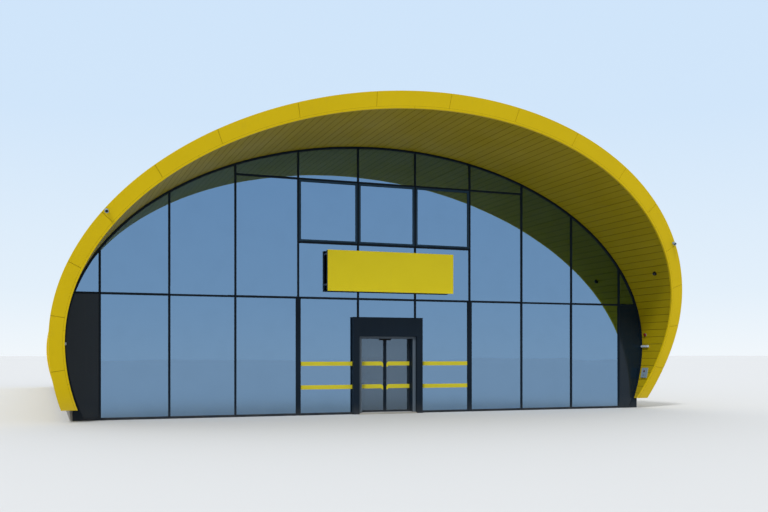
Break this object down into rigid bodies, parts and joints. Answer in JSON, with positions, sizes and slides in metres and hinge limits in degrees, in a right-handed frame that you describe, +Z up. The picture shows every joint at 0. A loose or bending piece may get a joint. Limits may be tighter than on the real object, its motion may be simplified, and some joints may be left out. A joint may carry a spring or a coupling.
{
  "type": "supermarket building",
  "caption": "Single-storey market hall under an oval vault with a raking yellow canopy rim, a glazed front and an automatic sliding entrance.",
  "frame": {"origin": "on the ground under the middle of the entrance, in the plane of the outer face of the glass", "axes": "+X to the right along the glass front as seen from outside, +Y into the building, +Z up"},
  "size_m": [19.7992, 33.3847, 8.66],
  "materials": {
    "fascia_yellow": "satin yellow coated sheet",
    "roof_yellow": "satin yellow coated standing seam sheet",
    "soffit_olive": "satin yellow boards",
    "sign_yellow": "satin yellow",
    "frame_black": "semi-matt black powder coat",
    "anthracite_panel": "gloss anthracite panel",
    "grey_aluminium": "satin anodised",
    "facade_glass": "clear double glazing with a blue-grey solar coating",
    "concrete": "cast concrete",
    "black_plastic": "matt",
    "grey_plastic": "matt",
    "red_plastic": "gloss"
  },
  "bodies": {
    "building": {"alarm_beacon": "red_plastic", "arch_frame": "frame_black", "base_rails": "frame_black", "call_point": "grey_plastic", "dome_camera": "black_plastic", "door_header": "frame_black", "door_jambs": "grey_aluminium", "door_operator": "grey_aluminium", "door_sensor": "black_plastic", "end_panel_left": "anthracite_panel", "end_panel_right": "anthracite_panel", "fascia_crown": "fascia_yellow", "fascia_left": "fascia_yellow", "fascia_right": "fascia_yellow", "floor_slab": "concrete", "glass_ground_row": "facade_glass", "glass_middle_row": "facade_glass", "glass_top_row": "facade_glass", "mullions": "frame_black", "plinths": "concrete", "portal_posts": "frame_black", "rear_rim": "fascia_yellow", "rear_wall": "anthracite_panel", "rim_cameras": "grey_plastic", "roof_shell_1": "roof_yellow", "roof_shell_2": "roof_yellow", "roof_shell_3": "roof_yellow", "roof_shell_4": "roof_yellow", "roof_shell_5": "roof_yellow", "roof_shell_6": "roof_yellow", "roof_shell_7": "roof_yellow", "sign_board": "sign_yellow", "sign_rails": "grey_aluminium", "soffit_crown": "soffit_olive", "soffit_left": "soffit_olive", "soffit_right": "soffit_olive", "threshold_ramp": "concrete", "transoms": "frame_black", "vent_glass": "facade_glass", "vent_sashes": "frame_black", "wall_lights": "grey_aluminium"},
    "leaf_left": {"door_leaf_left": "frame_black", "door_glass_left": "facade_glass"},
    "leaf_right": {"door_leaf_right": "frame_black", "door_glass_right": "facade_glass"}
  },
  "joints": [
    {"name": "leaf_left_slide", "type": "slide", "parent": "building", "child": "leaf_left", "axis": [-1, 0, 0], "range_m": [0, 0.8]},
    {"name": "leaf_right_slide", "type": "slide", "parent": "building", "child": "leaf_right", "axis": [1, 0, 0], "range_m": [0, 0.8]}
  ],
  "couplings": [
    {"joint": "leaf_right_slide", "follows": "leaf_left_slide", "ratio": 1}
  ]
}
